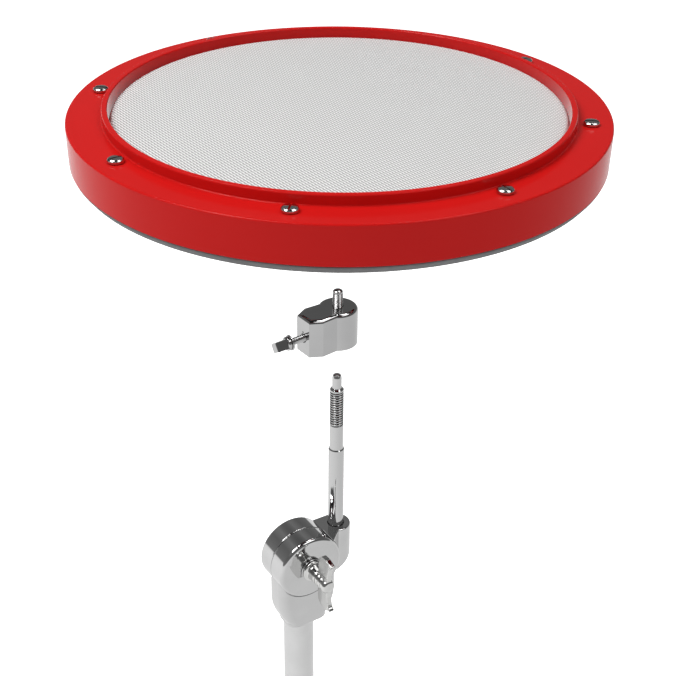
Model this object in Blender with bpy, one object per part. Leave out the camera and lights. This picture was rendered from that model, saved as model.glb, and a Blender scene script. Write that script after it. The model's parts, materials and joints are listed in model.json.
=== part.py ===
"""Tunable drum practice pad with its stand adapter and the tilter top of its stand.

The pieces are laid out in a line above each other: the tilter stands on its tube,
the adapter hangs above the rod that it slides down on, and the pad hangs above the
adapter's stud.  The origin is the centre of the tube's lower end, +Z is up.
"""
import bpy
import bmesh
import math
from mathutils import Matrix, Vector

MM = 0.001
GAP = 0.3                     # running gap between neighbouring pieces, in mm

# ---- driving dimensions, in mm ------------------------------------------------
# Stand tube and tilter
TUBE_RADIUS = 10.25
TUBE_WALL = 1.2
HINGE_HEIGHT = 120.4
TILTER_TURN = 32.4            # degrees about Z: local +X points from tube to rod
ROD_OFFSET = 29.1             # tube axis to rod axis
DISC_RADIUS = 22.65
DISC_CHAMFER = 1.15
SEAM_Y = -3.3                 # plane where the two discs meet, local Y
DISC_FRONT_Y = -17.35
DISC_BACK_Y = 9.4
ARM_TOP = 15.0                # above the hinge axis
ARM_END_RADIUS = 9.7
SOCKET_DEPTH = 49.0           # hinge axis to the socket's lower edge
WING_REACH_UPPER = 21.0
WING_REACH_LOWER = 18.6
WING_THICKNESS = 3.4
WING_LEAN = 1.5               # degrees about the hinge axis
# Rod
ROD_RADIUS = 5.13
ROD_NECK_RADIUS = 4.42
ROD_PILOT_RADIUS = 3.05
ROD_STEP_HEIGHT = 196.0
ROD_SHOULDER_HEIGHT = 241.4
ROD_TIP_HEIGHT = 251.5
# Adapter
ADAPTER_BOTTOM = 275.7
ADAPTER_TOP = 299.7
ADAPTER_TURN = 37.0           # degrees about Z: the tail points to local -X
LOBE_RADIUS = 12.4
TAIL_REACH = 25.65
BORE_RADIUS = 4.75
BORE_TOP = 296.2
KEY_HEIGHT = 285.8
KEY_SHAFT_RADIUS = 2.3
KEY_SQUARE = 6.0              # across the flats
KEY_SQUARE_TURN = 32.0        # degrees about the bolt's axis
KEY_WASHER_X = -35.8          # outer face of the loose washer, local X
STUD_RADIUS = 3.15
STUD_TOP = 311.4
# Pad, heights measured from the flat top of its rim
PAD_HEIGHT = 425.0
RIM_RADIUS = 150.0
RIM_SKIRT = 22.1
COLLAR_INNER = 127.0
COLLAR_OUTER = 130.3
COLLAR_HEIGHT = 6.0
HEAD_LEVEL = 0.4
BASE_BOTTOM = -26.8
SCREW_CIRCLE = 137.7
SCREW_COUNT = 8
SCREW_START = -9.3            # degrees
SCREW_HEAD_RADIUS = 4.45
SCREW_SHAFT_RADIUS = 2.4
SCREW_HOLE_RADIUS = 3.0       # corners of an eight-sided clearance hole
NUT_RADIUS = 4.6
TRAY_FLOOR = (-22.1, -19.1)
BUSH_SCREWS = 3
RING_STEPS = 48

ROD_AXIS = Vector((ROD_OFFSET * math.cos(math.radians(TILTER_TURN)),
                   ROD_OFFSET * math.sin(math.radians(TILTER_TURN)), 0.0))


# ---- scene and materials -------------------------------------------------------
def clear_scene():
    for item in list(bpy.data.objects):
        bpy.data.objects.remove(item, do_unlink=True)


def material(name, colour, roughness, metallic=0.0):
    made = bpy.data.materials.new(name)
    made.use_nodes = True
    shader = made.node_tree.nodes["Principled BSDF"]
    shader.inputs["Base Color"].default_value = (*colour, 1.0)
    shader.inputs["Roughness"].default_value = roughness
    shader.inputs["Metallic"].default_value = metallic
    return made


def make_materials():
    return {
        "red": material("red_moulding", (0.62, 0.012, 0.012), 0.18),
        "film": material("coated_film", (0.66, 0.66, 0.65), 0.6),
        "foam": material("damper_foam", (0.09, 0.09, 0.095), 0.95),
        "tray": material("grey_moulding", (0.10, 0.10, 0.105), 0.5),
        "rubber": material("base_rubber", (0.13, 0.13, 0.135), 0.7),
        "hoop": material("hoop_aluminium", (0.72, 0.72, 0.73), 0.35, 1.0),
        "brass": material("bush_brass", (0.72, 0.52, 0.22), 0.3, 1.0),
        "chrome": material("chrome_plate", (0.78, 0.78, 0.79), 0.06, 1.0),
        "steel": material("zinc_steel", (0.60, 0.61, 0.62), 0.28, 1.0),
        "fibre": material("washer_fibre", (0.035, 0.035, 0.035), 0.8),
    }


# ---- mesh helpers --------------------------------------------------------------
def add_object(name, bm, look, parent=None, place=None, smooth=30.0):
    """Link the mesh as an object that is given a material, a parent and a placement."""
    bmesh.ops.recalc_face_normals(bm, faces=bm.faces)
    mesh = bpy.data.meshes.new(name)
    bm.to_mesh(mesh)
    bm.free()
    if smooth:
        mesh.shade_smooth()
        mesh.set_sharp_from_angle(angle=math.radians(smooth))
    item = bpy.data.objects.new(name, mesh)
    bpy.context.scene.collection.objects.link(item)
    if look is not None:
        mesh.materials.append(look)
    if parent is not None:
        item.parent = parent
    if place is not None:
        item.matrix_local = place
    return item


def lathe(profile, steps, merge=1e-6):
    """Turn a closed outline of (radius, height) pairs, in mm, once about Z."""
    bm = bmesh.new()
    points = [bm.verts.new((radius * MM, 0.0, height * MM)) for radius, height in profile]
    on_axis = [radius < 1e-9 for radius, height in profile]
    for index, start in enumerate(points):
        following = (index + 1) % len(points)
        if not (on_axis[index] and on_axis[following]):
            bm.edges.new((start, points[following]))
    bmesh.ops.spin(bm, geom=bm.verts[:] + bm.edges[:], axis=(0, 0, 1), cent=(0, 0, 0),
                   angle=math.tau, steps=steps, use_merge=True)
    bmesh.ops.remove_doubles(bm, verts=bm.verts, dist=merge)
    return bm


def prism(outline, low, high):
    """Extrude a closed outline of (x, y) pairs, in mm, from low to high."""
    bm = bmesh.new()
    ring = [bm.verts.new((x * MM, y * MM, low * MM)) for x, y in outline]
    floor = bm.faces.new(ring)
    raised = bmesh.ops.extrude_face_region(bm, geom=[floor])
    top = [part for part in raised["geom"] if isinstance(part, bmesh.types.BMVert)]
    bmesh.ops.translate(bm, verts=top, vec=(0.0, 0.0, (high - low) * MM))
    return bm


def loft(sections):
    """Bridge closed outlines of (x, y) pairs, one at each height, in mm."""
    bm = bmesh.new()
    rings = [[bm.verts.new((x * MM, y * MM, height * MM)) for x, y in outline]
             for height, outline in sections]
    bm.faces.new(rings[0])
    bm.faces.new(rings[-1])
    for lower, upper in zip(rings, rings[1:]):
        for index in range(len(lower)):
            following = (index + 1) % len(lower)
            bm.faces.new((lower[index], lower[following], upper[following], upper[index]))
    return bm


def joined(*parts):
    """Put several separate solids into one mesh, for use as one cutter."""
    whole = bmesh.new()
    for part in parts:
        spare = bpy.data.meshes.new("spare")
        part.to_mesh(spare)
        part.free()
        whole.from_mesh(spare)
        bpy.data.meshes.remove(spare)
    return whole


def moved(bm, matrix):
    bmesh.ops.transform(bm, matrix=matrix, verts=bm.verts)
    return bm


def boolean(item, name, bm, operation, parent=None, place=None):
    """Cut, add or intersect a guide solid, which is kept as a hidden wire object."""
    guide = add_object(name, bm, None, parent, place, smooth=0)
    guide.hide_render = True
    guide.display_type = "WIRE"
    change = item.modifiers.new(name, "BOOLEAN")
    change.operation = operation
    change.solver = "EXACT"
    change.object = guide


def offset(x=0.0, y=0.0, z=0.0):
    return Matrix.Translation((x * MM, y * MM, z * MM))


def turn(axis, degrees):
    return Matrix.Rotation(math.radians(degrees), 4, axis)


def arc(centre_x, centre_y, radius, start, end, steps):
    """Points on an arc, angles in degrees."""
    return [(centre_x + radius * math.cos(math.radians(start + (end - start) * k / steps)),
             centre_y + radius * math.sin(math.radians(start + (end - start) * k / steps)))
            for k in range(steps + 1)]


def polygon(sides, radius, start=0.0):
    return arc(0.0, 0.0, radius, start, start + 360.0 * (sides - 1) / sides, sides - 1)


def rod_shape(radius, low, high, steps=20):
    return prism(polygon(steps, radius), low, high)


def empty(name, place, parent=None):
    anchor = bpy.data.objects.new(name, None)
    bpy.context.scene.collection.objects.link(anchor)
    anchor.parent = parent
    anchor.matrix_local = place
    return anchor


TO_FRONT = turn("X", 90.0)    # turns +Z to local -Y, the side that the wing bolt is on


# ---- stand tube, tilter and rod -------------------------------------------------
def socket_section(half_width, back):
    """Outline of the tube socket: a flat front with round corners and a bowed back."""
    front = DISC_FRONT_Y + 1.5
    corner = 5.0
    bow = back - SEAM_Y
    left = arc(-half_width + corner, front + corner, corner, 180, 270, 4)
    right = arc(half_width - corner, front + corner, corner, 270, 360, 4)
    rear = [(half_width * math.cos(math.radians(angle)),
             SEAM_Y + bow * math.sin(math.radians(angle))) for angle in range(0, 181, 18)]
    return left + right + rear


def disc(front, back, chamfer_front, chamfer_back):
    """A disc about local Y between two planes, with a chamfer on the outer side."""
    low = -back
    high = -front
    outline = [(0.0, low), (DISC_RADIUS - chamfer_back, low),
               (DISC_RADIUS, low + chamfer_back), (DISC_RADIUS, high - chamfer_front),
               (DISC_RADIUS - chamfer_front, high), (0.0, high)]
    if not chamfer_back:
        outline.pop(1)
    if not chamfer_front:
        outline.pop(-2)
    return moved(lathe(outline, 40), TO_FRONT)


def cylinder_y(radius, front, back, steps=40):
    return moved(rod_shape(radius, -back, -front, steps), TO_FRONT)


def build_tube(looks):
    inner = TUBE_RADIUS - TUBE_WALL
    top = HINGE_HEIGHT - 31.0 - GAP
    outline = [(inner, top), (TUBE_RADIUS, top), (TUBE_RADIUS, 0.0), (inner, 0.0)]
    add_object("stand_tube", lathe(outline, 32), looks["chrome"])


def build_tilter_base(looks, hinge):
    body = loft([(-SOCKET_DEPTH, socket_section(12.6, 12.6)),
                 (-SOCKET_DEPTH + 0.8, socket_section(13.2, 12.9)),
                 (-31.0, socket_section(20.8, 10.4)),
                 (-7.0, socket_section(21.3, DISC_BACK_Y))])
    base = add_object("tilter_base", body, looks["chrome"], hinge)
    boolean(base, "base_disc", disc(DISC_FRONT_Y, SEAM_Y + 1.0, DISC_CHAMFER, 0.0), "UNION", hinge)
    cuts = joined(cylinder_y(DISC_RADIUS + 0.45, SEAM_Y - GAP / 2, 30.0),
                  rod_shape(TUBE_RADIUS + GAP, -70.0, -31.0, 32))
    boolean(base, "base_recess", cuts, "DIFFERENCE", hinge)
    boolean(base, "base_hinge_hole", cylinder_y(3.4, -40.0, 0.0, 20), "DIFFERENCE", hinge)
    washer_seat = cylinder_y(14.4, SEAM_Y - 0.9, SEAM_Y + 1.0, 32)
    boolean(base, "base_washer_seat", washer_seat, "DIFFERENCE", hinge)


def build_tilter_arm(looks, hinge):
    shoulder = 110.0
    plan = ([(2.0, -17.2), (16.4, -17.2)]
            + arc(ROD_OFFSET, 0.0, ARM_END_RADIUS, -shoulder, shoulder, 16)
            + [(10.0, DISC_BACK_Y - 0.6), (2.0, DISC_BACK_Y - 0.6)])
    side = [(2.0, -5.0), (22.2, -5.0), (22.2, -16.0), (25.2, -19.4), (40.0, -8.0),
            (40.0, ARM_TOP), (2.0, ARM_TOP)]
    arm = add_object("tilter_arm", prism(plan, -24.0, ARM_TOP), looks["chrome"], hinge)
    profile = moved(prism(side, -20.0, 20.0), TO_FRONT)
    boolean(arm, "arm_profile", profile, "INTERSECT", hinge)
    boolean(arm, "arm_disc", disc(SEAM_Y - 1.0, DISC_BACK_Y, 0.0, DISC_CHAMFER), "UNION", hinge)
    recess = cylinder_y(DISC_RADIUS + 0.45, -30.0, SEAM_Y + GAP / 2)
    boolean(arm, "arm_recess", recess, "DIFFERENCE", hinge)
    nut_pocket = moved(prism(polygon(6, 6.1), -30.0, -4.3), TO_FRONT)
    set_screw_hole = moved(rod_shape(2.3, ROD_OFFSET, 60.0, 12), turn("Y", 90.0))
    cuts = joined(moved(rod_shape(ROD_RADIUS + GAP, -8.0, 30.0, 24), offset(ROD_OFFSET)),
                  nut_pocket)
    boolean(arm, "arm_bores", cuts, "DIFFERENCE", hinge)
    boolean(arm, "arm_hinge_hole", cylinder_y(3.4, -30.0, 20.0, 20), "DIFFERENCE", hinge)
    boolean(arm, "arm_set_screw_hole", set_screw_hole, "DIFFERENCE", hinge)
    washer_seat = cylinder_y(14.4, SEAM_Y - 1.0, SEAM_Y + 0.9, 32)
    boolean(arm, "arm_washer_seat", washer_seat, "DIFFERENCE", hinge)


def build_rod(looks, hinge):
    foot = -8.0 + GAP
    tip = ROD_TIP_HEIGHT - HINGE_HEIGHT
    shoulder = ROD_SHOULDER_HEIGHT - HINGE_HEIGHT
    step = ROD_STEP_HEIGHT - HINGE_HEIGHT
    pilot = ROD_PILOT_RADIUS
    dome = [(pilot * math.cos(math.radians(angle)), tip - 2.2 * (1 - math.sin(math.radians(angle))))
            for angle in (67.5, 45.0, 22.5, 0.0)]
    outline = ([(0.0, tip)] + dome
               + [(pilot, shoulder), (ROD_NECK_RADIUS - 1.0, shoulder),
                  (ROD_NECK_RADIUS, shoulder - 1.2), (ROD_NECK_RADIUS, step),
                  (ROD_RADIUS, step - 0.8), (ROD_RADIUS, foot), (0.0, foot)])
    add_object("stand_rod", lathe(outline, 24), looks["chrome"], hinge, offset(ROD_OFFSET))
    grub = [(0.0, 0.0), (1.4, 0.0), (2.0, 0.6), (2.0, 4.0), (0.0, 4.0)]
    start = ROD_OFFSET + ROD_RADIUS + 0.35
    add_object("rod_set_screw", lathe(grub, 12), looks["steel"], hinge,
               offset(start) @ turn("Y", 90.0))


def build_hinge_parts(looks, hinge):
    washer = [(4.0, 0.0), (14.0, 0.0), (14.0, 1.2), (4.0, 1.2)]
    add_object("friction_washer", lathe(washer, 32), looks["fibre"], hinge,
               offset(y=SEAM_Y + 0.6) @ TO_FRONT)
    plain = [(3.3, 0.0), (7.9, 0.0), (7.9, 1.1), (3.3, 1.1)]
    add_object("wing_washer", lathe(plain, 24), looks["chrome"], hinge,
               offset(y=DISC_FRONT_Y - GAP) @ TO_FRONT)
    nut = prism(polygon(6, 5.75), 0.0, 4.4)
    piece = add_object("hinge_nut", nut, looks["steel"], hinge,
                       offset(y=DISC_BACK_Y - 0.2) @ TO_FRONT)
    boolean(piece, "nut_bore", cylinder_y(3.3, -10.0, 20.0, 16), "DIFFERENCE", hinge)


def build_wing_bolt(looks, hinge):
    """The wing head turns on the hinge axis with the stud that is cast into it."""
    seat = -(DISC_FRONT_Y - GAP - 1.1 - GAP)
    hub = [(0.0, seat + 9.3), (3.3, seat + 9.3), (3.3, seat), (7.6, seat), (7.6, seat + 1.2),
           (5.6, seat + 2.6), (4.8, 31.0), (4.5, 38.4), (3.2, 40.0), (0.0, 40.0)]
    head = add_object("wing_head", moved(lathe(hub, 20), TO_FRONT), looks["chrome"], hinge)
    lean = turn("Y", WING_LEAN)
    for name, flip, reach in (("wing_upper", 1, WING_REACH_UPPER),
                              ("wing_lower", -1, WING_REACH_LOWER)):
        blade = [(3.0, 29.0), (4.6, 28.4), (reach - 10.0, 28.0), (reach - 3.0, 28.8),
                 (reach - 0.4, 31.6), (reach, 37.0), (reach - 1.8, 43.8), (reach - 4.6, 41.4),
                 (reach - 11.0, 39.6), (3.0, 38.4)]
        shape = prism(blade, -WING_THICKNESS / 2, WING_THICKNESS / 2)
        upright = Matrix(((0, 0, 1, 0), (0, -1, 0, 0), (flip, 0, 0, 0), (0, 0, 0, 1)))
        boolean(head, name, moved(shape, lean @ upright), "UNION", hinge)
    length = seat + 9.0
    shaft = [(0.0, length), (3.0, length), (3.0, -8.0), (2.2, -8.8), (0.0, -8.8)]
    add_object("wing_stud", moved(lathe(shaft, 16), TO_FRONT), looks["steel"], hinge)


# ---- adapter ----------------------------------------------------------------------
def build_adapter(looks, anchor):
    notch = math.degrees(math.atan2(9.8, -7.6))
    outline = (arc(0.0, 0.0, LOBE_RADIUS, -notch, notch, 22)
               + [(-18.2, 10.4), (-TAIL_REACH, 6.3), (-TAIL_REACH, -6.3), (-18.2, -10.4)])
    solid = prism(outline, ADAPTER_BOTTOM, ADAPTER_TOP)
    top_edges = [edge for edge in solid.edges
                 if all(abs(vert.co.z - ADAPTER_TOP * MM) < 1e-7 for vert in edge.verts)]
    bmesh.ops.bevel(solid, geom=top_edges, offset=1.5 * MM, segments=1, affect="EDGES")
    block = add_object("adapter_block", solid, looks["chrome"], anchor)
    towards_tail = offset(z=KEY_HEIGHT) @ turn("Y", -90.0)
    cuts = joined(rod_shape(BORE_RADIUS, ADAPTER_BOTTOM - 5.0, BORE_TOP, 24),
                  moved(rod_shape(0.6, TAIL_REACH - 3.0, TAIL_REACH + 5.0, 8),
                        offset(z=4.0) @ towards_tail))
    boolean(block, "adapter_bore", cuts, "DIFFERENCE", anchor)
    key_hole = moved(rod_shape(KEY_SHAFT_RADIUS + GAP, 2.0, 40.0, 16), towards_tail)
    boolean(block, "adapter_key_hole", key_hole, "DIFFERENCE", anchor)
    boolean(block, "adapter_stud_hole", rod_shape(STUD_RADIUS + GAP, 290.0, 310.0, 20),
            "DIFFERENCE", anchor)
    dome = [(STUD_RADIUS * math.cos(math.radians(angle)),
             STUD_TOP - 2.4 * (1 - math.sin(math.radians(angle)))) for angle in (67.5, 45.0, 22.5, 0.0)]
    outline = [(0.0, STUD_TOP)] + dome + [(STUD_RADIUS, BORE_TOP + 0.1), (0.0, BORE_TOP + 0.1)]
    add_object("adapter_stud", lathe(outline, 20), looks["chrome"], anchor)


def build_key_bolt(looks, anchor):
    """Square-headed bolt that clamps the adapter on the rod, backed out of its hole."""
    along = offset(z=KEY_HEIGHT) @ turn("Y", -90.0)
    washer_out = -KEY_WASHER_X
    ring = [(2.6, washer_out - 1.2), (4.9, washer_out - 1.2), (4.9, washer_out), (2.6, washer_out)]
    add_object("key_washer", lathe(ring, 20), looks["chrome"], anchor, along)
    seat = washer_out + GAP
    shaft = KEY_SHAFT_RADIUS
    outline = [(0.0, seat + 2.4), (3.6, seat + 2.4), (4.3, seat + 1.7), (4.3, seat), (shaft, seat),
               (shaft, 14.2), (shaft - 0.7, 13.5), (0.0, 13.5)]
    bolt = add_object("key_bolt", lathe(outline, 16), looks["chrome"], anchor, along)
    half = KEY_SQUARE / 2
    square = prism([(-half, -half), (half, -half), (half, half), (-half, half)], seat + 1.5, 46.3)
    end_edges = [edge for edge in square.edges
                 if all(vert.co.z > 46.0 * MM for vert in edge.verts)]
    bmesh.ops.bevel(square, geom=end_edges, offset=0.7 * MM, segments=1, affect="EDGES")
    boolean(bolt, "key_square", square, "UNION", anchor, along @ turn("Z", KEY_SQUARE_TURN))


# ---- pad ---------------------------------------------------------------------------
def screw_angles():
    return [SCREW_START + 360.0 * index / SCREW_COUNT for index in range(SCREW_COUNT)]


def around_circle(radius, angle):
    """Placement on a circle about the pad's axis, local +X pointing outwards."""
    return turn("Z", angle) @ offset(radius)


def build_rim(looks, pad):
    outline = [(COLLAR_INNER, 5.4), (COLLAR_INNER + 0.6, COLLAR_HEIGHT),
               (COLLAR_OUTER - 0.6, COLLAR_HEIGHT), (COLLAR_OUTER, 5.4), (COLLAR_OUTER, 0.0),
               (RIM_RADIUS, 0.0), (RIM_RADIUS - 0.4, -RIM_SKIRT), (RIM_RADIUS - 3.0, -RIM_SKIRT),
               (RIM_RADIUS - 3.0, -3.2), (COLLAR_OUTER + 1.2, -3.2), (COLLAR_OUTER + 0.2, -4.3),
               (COLLAR_INNER, -4.3)]
    rim = add_object("tension_rim", lathe(outline, RING_STEPS), looks["red"], pad)
    holes = joined(*[moved(rod_shape(SCREW_HOLE_RADIUS, -8.0, 4.0, 8),
                           around_circle(SCREW_CIRCLE, angle)) for angle in screw_angles()])
    boolean(rim, "rim_screw_holes", holes, "DIFFERENCE", pad)


def build_head(looks, pad):
    top = HEAD_LEVEL
    outline = [(0.0, top), (121.8, top), (123.6, top - 0.3), (124.9, top - 1.5),
               (126.6, -4.6), (126.6, -8.2), (126.1, -8.2), (126.1, -4.8), (124.4, top - 2.0),
               (123.3, top - 0.8), (121.8, top - 0.5), (0.0, top - 0.5)]
    add_object("drumhead", lathe(outline, RING_STEPS), looks["film"], pad)
    hoop = [(125.0, -5.6), (125.0, -10.2), (130.2, -10.2), (130.2, -4.7), (126.9, -4.7),
            (126.9, -8.6), (125.8, -8.6), (125.8, -5.6)]
    add_object("flesh_hoop", lathe(hoop, RING_STEPS), looks["hoop"], pad)


def build_tray(looks, pad):
    low, high = TRAY_FLOOR
    edge = 124.4
    outline = [(6.0, high), (121.5, high), (121.5, -0.6), (122.6, -0.6), (edge - 0.3, -2.4),
               (edge, -3.0), (edge, high), (146.6, high), (146.6, low), (6.0, low)]
    tray = add_object("base_tray", lathe(outline, RING_STEPS), looks["tray"], pad)
    bosses = joined(*[moved(rod_shape(6.6, low + 1.0, -8.0, 12), around_circle(SCREW_CIRCLE, angle))
                      for angle in screw_angles()])
    boolean(tray, "tray_bosses", bosses, "UNION", pad)
    pockets = joined(*[moved(prism(polygon(6, NUT_RADIUS + 0.35), low - 2.0, -18.2),
                             around_circle(SCREW_CIRCLE, angle)) for angle in screw_angles()])
    boolean(tray, "tray_nut_pockets", pockets, "DIFFERENCE", pad)
    holes = [moved(rod_shape(SCREW_HOLE_RADIUS, -20.0, 0.0, 8),
                   around_circle(SCREW_CIRCLE, angle)) for angle in screw_angles()]
    holes += [moved(rod_shape(1.5, -30.0, -15.0, 10), around_circle(10.2, 120.0 * index))
              for index in range(BUSH_SCREWS)]
    boolean(tray, "tray_holes", joined(*holes), "DIFFERENCE", pad)


def build_pad_inside(looks, pad):
    low, high = TRAY_FLOOR
    under_head = HEAD_LEVEL - 0.5 - GAP
    foam = [(0.0, under_head), (121.0, under_head), (121.0, high + GAP), (15.5, high + GAP),
            (15.5, -13.5), (7.5, -13.5), (7.5, -3.2), (0.0, -3.2)]
    add_object("foam_core", lathe(foam, RING_STEPS), looks["foam"], pad)
    base = [(118.0, low - GAP), (RIM_RADIUS - 0.8, low - GAP), (RIM_RADIUS - 1.1, low - 1.4),
            (146.3, BASE_BOTTOM), (120.0, BASE_BOTTOM), (118.0, BASE_BOTTOM + 1.6)]
    add_object("rubber_base", lathe(base, RING_STEPS), looks["rubber"], pad)
    bush = [(3.5, -7.1), (6.5, -7.1), (6.5, -16.3), (14.0, -16.3), (14.0, high + GAP),
            (5.7, high + GAP), (5.7, low), (3.5, low)]
    piece = add_object("thread_bush", lathe(bush, 24), looks["brass"], pad)
    holes = joined(*[moved(rod_shape(1.5, -25.0, -10.0, 10), around_circle(10.2, 120.0 * index))
                     for index in range(BUSH_SCREWS)])
    boolean(piece, "bush_holes", holes, "DIFFERENCE", pad)
    screw = [(0.0, -14.4), (1.5, -14.4), (2.3, -15.1), (2.3, -16.0), (1.2, -16.0), (1.2, -21.8),
             (0.0, -21.8)]
    for index in range(BUSH_SCREWS):
        add_object(f"bush_screw_{index + 1}", lathe(screw, 12), looks["steel"], pad,
                   around_circle(10.2, 120.0 * index))


def build_tension_screws(looks, pad):
    """Slotted screws through the rim, each into a hexagon nut held in the tray."""
    radius = SCREW_HEAD_RADIUS
    shaft = SCREW_SHAFT_RADIUS
    head = [(0.0, 2.7), (3.4, 2.3), (radius, 1.2), (radius, GAP), (shaft, GAP),
            (shaft, -20.9), (shaft - 0.8, -21.7), (0.0, -21.7)]
    nut = prism(polygon(6, NUT_RADIUS), -21.8, -18.5)
    for index, angle in enumerate(screw_angles()):
        place = around_circle(SCREW_CIRCLE, angle)
        screw = add_object(f"tension_screw_{index + 1}", lathe(head, 12), looks["chrome"], pad, place)
        slot = prism([(-6.0, -0.55), (6.0, -0.55), (6.0, 0.55), (-6.0, 0.55)], 1.5, 4.0)
        boolean(screw, f"slot_{index + 1}", slot, "DIFFERENCE", pad, place)
        piece = add_object(f"screw_nut_{index + 1}", nut.copy(), looks["steel"], pad, place)
        bore = rod_shape(SCREW_HOLE_RADIUS, -25.0, -15.0, 8)
        boolean(piece, f"nut_bore_{index + 1}", bore, "DIFFERENCE", pad, place)
    nut.free()


def main():
    clear_scene()
    looks = make_materials()
    hinge = empty("hinge_frame", offset(z=HINGE_HEIGHT) @ turn("Z", TILTER_TURN))
    adapter = empty("adapter_frame", Matrix.Translation(ROD_AXIS * MM) @ turn("Z", ADAPTER_TURN))
    pad = empty("pad_frame", Matrix.Translation(ROD_AXIS * MM) @ offset(z=PAD_HEIGHT))
    build_tube(looks)
    build_tilter_base(looks, hinge)
    build_tilter_arm(looks, hinge)
    build_rod(looks, hinge)
    build_hinge_parts(looks, hinge)
    build_wing_bolt(looks, hinge)
    build_adapter(looks, adapter)
    build_key_bolt(looks, adapter)
    build_rim(looks, pad)
    build_head(looks, pad)
    build_tray(looks, pad)
    build_pad_inside(looks, pad)
    build_tension_screws(looks, pad)
    bpy.context.view_layer.update()


main()
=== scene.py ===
"""Looks of the practice pad, its stud adapter and the top of its stand.

Each piece is built again in fine detail where its CAD solid is, in one of three
frames: the tilter's hinge, the adapter's block and the flat top of the pad's rim.
Lengths are in mm until a mesh is made.
"""
import bmesh
import bpy
import json
import math
from mathutils import Matrix, Vector

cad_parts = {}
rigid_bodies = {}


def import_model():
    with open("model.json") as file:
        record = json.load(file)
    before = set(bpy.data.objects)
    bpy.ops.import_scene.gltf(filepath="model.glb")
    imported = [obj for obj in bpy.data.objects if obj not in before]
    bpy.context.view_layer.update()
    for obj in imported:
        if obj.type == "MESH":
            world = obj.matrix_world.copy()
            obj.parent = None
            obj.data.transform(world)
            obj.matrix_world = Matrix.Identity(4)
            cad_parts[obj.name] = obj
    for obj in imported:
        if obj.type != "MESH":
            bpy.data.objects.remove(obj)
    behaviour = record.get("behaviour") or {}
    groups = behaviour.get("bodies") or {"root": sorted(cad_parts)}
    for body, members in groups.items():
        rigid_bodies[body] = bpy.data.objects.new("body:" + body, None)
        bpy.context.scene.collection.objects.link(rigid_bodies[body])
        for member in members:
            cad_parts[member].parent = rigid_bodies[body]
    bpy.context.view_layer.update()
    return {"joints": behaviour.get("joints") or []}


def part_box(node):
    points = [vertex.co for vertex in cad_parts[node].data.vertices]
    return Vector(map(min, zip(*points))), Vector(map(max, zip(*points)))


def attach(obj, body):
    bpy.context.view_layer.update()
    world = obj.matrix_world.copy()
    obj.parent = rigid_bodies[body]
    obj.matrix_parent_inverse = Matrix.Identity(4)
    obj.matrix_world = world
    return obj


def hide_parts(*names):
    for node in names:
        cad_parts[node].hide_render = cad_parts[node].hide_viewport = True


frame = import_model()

MM = 0.001
FINE = 160                    # steps of a large turned piece
SMALL = 48                    # steps of a small turned piece
COLLAR_HEIGHT = 6.0           # the rim's collar above its flat top
SCREW_COUNT = 8
RIM_SCREW_CIRCLE = 137.7
BUSH_SCREW_CIRCLE = 10.2
BUSH_SCREW_HEADINGS = (0, 120, 240)


def axis_of(node):
    """Middle of a CAD node's box, in metres."""
    low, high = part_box(node)
    return (low + high) / 2


def offset(x=0.0, y=0.0, z=0.0):
    return Matrix.Translation((x * MM, y * MM, z * MM))


def turn(axis, degrees):
    return Matrix.Rotation(math.radians(degrees), 4, axis)


def heading(direction):
    """Rotation about Z that turns +X to a level direction."""
    return Matrix.Rotation(math.atan2(direction.y, direction.x), 4, "Z")


JOINTS = {joint["name"]: joint for joint in frame["joints"]}
HINGE = Vector(JOINTS["tilter_hinge"]["pos_m"])
ROD = Vector((axis_of("stand_rod").x, axis_of("stand_rod").y, 0.0))
RIM_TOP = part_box("tension_rim")[1].z - COLLAR_HEIGHT * MM
KEY_AXIS = Vector(JOINTS["key_bolt_travel"]["axis"])
ROD_OFFSET = (ROD - Vector((HINGE.x, HINGE.y, 0.0))).length / MM
HINGE_FRAME = Matrix.Translation(HINGE) @ heading(ROD - HINGE)
ADAPTER_FRAME = Matrix.Translation(ROD) @ heading(KEY_AXIS)
PAD_FRAME = Matrix.Translation((ROD.x, ROD.y, RIM_TOP))
ROD_THREAD = (213.4 - HINGE.z / MM, 239.8 - HINGE.z / MM)
TO_FRONT = turn("X", 90.0)    # turns +Z to the hinge frame's -Y, towards the wing bolt


# ---- outlines ---------------------------------------------------------------------
def rounded(outline, steps=4):
    """A closed outline in which each (x, y, radius) corner has become an arc."""
    result = []
    for index, corner in enumerate(outline):
        point = Vector(corner[:2])
        if len(corner) < 3:
            result.append(tuple(point))
            continue
        before = (Vector(outline[index - 1][:2]) - point).normalized()
        after = (Vector(outline[(index + 1) % len(outline)][:2]) - point).normalized()
        half = before.angle(after) / 2
        centre = point + (before + after).normalized() * corner[2] / math.sin(half)
        start = point + before * corner[2] / math.tan(half) - centre
        end = point + after * corner[2] / math.tan(half) - centre
        sweep = start.angle(end)
        for step in range(steps + 1):
            part = sweep * step / steps
            spoke = (start * math.sin(sweep - part) + end * math.sin(part)) / math.sin(sweep)
            result.append(tuple(centre + spoke))
    return result


def arc(centre_x, centre_y, radius, start, end, steps):
    """Points on an arc, angles in degrees."""
    return [(centre_x + radius * math.cos(math.radians(start + (end - start) * k / steps)),
             centre_y + radius * math.sin(math.radians(start + (end - start) * k / steps)))
            for k in range(steps + 1)]


def dome_outline(radius, top, height, steps=8):
    """A low dome from the axis out to a radius."""
    return [(radius * math.sin(math.pi / 2 * k / steps),
             top - height * (1.0 - math.cos(math.pi / 2 * k / steps))) for k in range(steps)]


def run(radius, start, end, pitch):
    """Points close enough together along a straight side for a thread to show."""
    count = max(2, round(abs(end - start) / pitch * 12))
    return [(radius, start + (end - start) * k / count) for k in range(count + 1)]


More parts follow.
